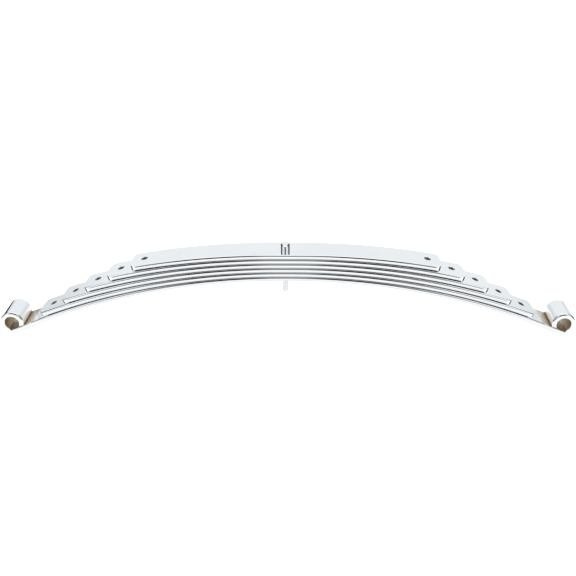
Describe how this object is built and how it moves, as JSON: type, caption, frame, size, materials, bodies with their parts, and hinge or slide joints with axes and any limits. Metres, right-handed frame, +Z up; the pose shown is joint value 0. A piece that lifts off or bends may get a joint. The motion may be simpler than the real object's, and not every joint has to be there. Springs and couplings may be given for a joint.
{
  "type": "leaf spring",
  "caption": "Arched multi-leaf transverse spring, chrome plated, with rolled-up eyes on the main leaf, slider buttons at the leaf tips and a round-headed centre bolt.",
  "frame": {"origin": "midway between the two eyes, on the surface that they stand on, on the centre bolt's axis", "axes": "+X from the left eye to the right eye, +Y across the leaves, +Z up through the centre bolt towards its head"},
  "size_m": [0.8342, 0.0444, 0.1364],
  "materials": {
    "chromed_leaf": "polished chrome plate on spring steel",
    "bolt_steel": "bright plated steel",
    "slider_button": "smooth moulded nylon"
  },
  "bodies": {
    "clamped_centre": {"main_leaf_centre": "chromed_leaf", "leaf_2_centre": "chromed_leaf", "leaf_3_centre": "chromed_leaf", "leaf_4_centre": "chromed_leaf", "leaf_5_centre": "chromed_leaf", "leaf_6_centre": "chromed_leaf", "centre_bolt": "bolt_steel", "centre_bolt_nut": "bolt_steel"},
    "main_leaf_left": {"main_leaf_left_arm": "chromed_leaf"},
    "leaf_2_left": {"leaf_2_left_arm": "chromed_leaf", "leaf_2_left_button": "slider_button"},
    "leaf_3_left": {"leaf_3_left_arm": "chromed_leaf", "leaf_3_left_button": "slider_button"},
    "leaf_4_left": {"leaf_4_left_arm": "chromed_leaf", "leaf_4_left_button": "slider_button"},
    "leaf_5_left": {"leaf_5_left_arm": "chromed_leaf", "leaf_5_left_button": "slider_button"},
    "leaf_6_left": {"leaf_6_left_arm": "chromed_leaf", "leaf_6_left_button": "slider_button"},
    "main_leaf_right": {"main_leaf_right_arm": "chromed_leaf"},
    "leaf_2_right": {"leaf_2_right_arm": "chromed_leaf", "leaf_2_right_button": "slider_button"},
    "leaf_3_right": {"leaf_3_right_arm": "chromed_leaf", "leaf_3_right_button": "slider_button"},
    "leaf_4_right": {"leaf_4_right_arm": "chromed_leaf", "leaf_4_right_button": "slider_button"},
    "leaf_5_right": {"leaf_5_right_arm": "chromed_leaf", "leaf_5_right_button": "slider_button"},
    "leaf_6_right": {"leaf_6_right_arm": "chromed_leaf", "leaf_6_right_button": "slider_button"}
  },
  "joints": [
    {"name": "main_leaf_left_flex", "type": "hinge", "parent": "clamped_centre", "child": "main_leaf_left", "pos_m": [-0.1, 0, 0.0848], "axis": [0, 1, 0], "range_deg": [0, 12], "stiffness_Nm_per_rad": 400},
    {"name": "leaf_2_left_flex", "type": "hinge", "parent": "clamped_centre", "child": "leaf_2_left", "pos_m": [-0.1, 0, 0.09201], "axis": [0, 1, 0], "range_deg": [0, 12], "stiffness_Nm_per_rad": 190},
    {"name": "leaf_3_left_flex", "type": "hinge", "parent": "clamped_centre", "child": "leaf_3_left", "pos_m": [-0.1, 0, 0.09921], "axis": [0, 1, 0], "range_deg": [0, 12], "stiffness_Nm_per_rad": 190},
    {"name": "leaf_4_left_flex", "type": "hinge", "parent": "clamped_centre", "child": "leaf_4_left", "pos_m": [-0.1, 0, 0.10643], "axis": [0, 1, 0], "range_deg": [0, 12], "stiffness_Nm_per_rad": 190},
    {"name": "leaf_5_left_flex", "type": "hinge", "parent": "clamped_centre", "child": "leaf_5_left", "pos_m": [-0.1, 0, 0.11366], "axis": [0, 1, 0], "range_deg": [0, 12], "stiffness_Nm_per_rad": 190},
    {"name": "leaf_6_left_flex", "type": "hinge", "parent": "clamped_centre", "child": "leaf_6_left", "pos_m": [-0.1, 0, 0.12093], "axis": [0, 1, 0], "range_deg": [0, 12], "stiffness_Nm_per_rad": 190},
    {"name": "main_leaf_right_flex", "type": "hinge", "parent": "clamped_centre", "child": "main_leaf_right", "pos_m": [0.1, 0, 0.0848], "axis": [0, -1, 0], "range_deg": [0, 12], "stiffness_Nm_per_rad": 400},
    {"name": "leaf_2_right_flex", "type": "hinge", "parent": "clamped_centre", "child": "leaf_2_right", "pos_m": [0.1, 0, 0.09201], "axis": [0, -1, 0], "range_deg": [0, 12], "stiffness_Nm_per_rad": 190},
    {"name": "leaf_3_right_flex", "type": "hinge", "parent": "clamped_centre", "child": "leaf_3_right", "pos_m": [0.1, 0, 0.09921], "axis": [0, -1, 0], "range_deg": [0, 12], "stiffness_Nm_per_rad": 190},
    {"name": "leaf_4_right_flex", "type": "hinge", "parent": "clamped_centre", "child": "leaf_4_right", "pos_m": [0.1, 0, 0.10643], "axis": [0, -1, 0], "range_deg": [0, 12], "stiffness_Nm_per_rad": 190},
    {"name": "leaf_5_right_flex", "type": "hinge", "parent": "clamped_centre", "child": "leaf_5_right", "pos_m": [0.1, 0, 0.11366], "axis": [0, -1, 0], "range_deg": [0, 12], "stiffness_Nm_per_rad": 190},
    {"name": "leaf_6_right_flex", "type": "hinge", "parent": "clamped_centre", "child": "leaf_6_right", "pos_m": [0.1, 0, 0.12093], "axis": [0, -1, 0], "range_deg": [0, 12], "stiffness_Nm_per_rad": 190}
  ],
  "couplings": [
    {"joint": "leaf_2_left_flex", "follows": "main_leaf_left_flex", "ratio": 0.9935},
    {"joint": "leaf_3_left_flex", "follows": "main_leaf_left_flex", "ratio": 0.987},
    {"joint": "leaf_4_left_flex", "follows": "main_leaf_left_flex", "ratio": 0.9805},
    {"joint": "leaf_5_left_flex", "follows": "main_leaf_left_flex", "ratio": 0.974},
    {"joint": "leaf_6_left_flex", "follows": "main_leaf_left_flex", "ratio": 0.9675},
    {"joint": "leaf_2_right_flex", "follows": "main_leaf_right_flex", "ratio": 0.9935},
    {"joint": "leaf_3_right_flex", "follows": "main_leaf_right_flex", "ratio": 0.987},
    {"joint": "leaf_4_right_flex", "follows": "main_leaf_right_flex", "ratio": 0.9805},
    {"joint": "leaf_5_right_flex", "follows": "main_leaf_right_flex", "ratio": 0.974},
    {"joint": "leaf_6_right_flex", "follows": "main_leaf_right_flex", "ratio": 0.9675}
  ]
}
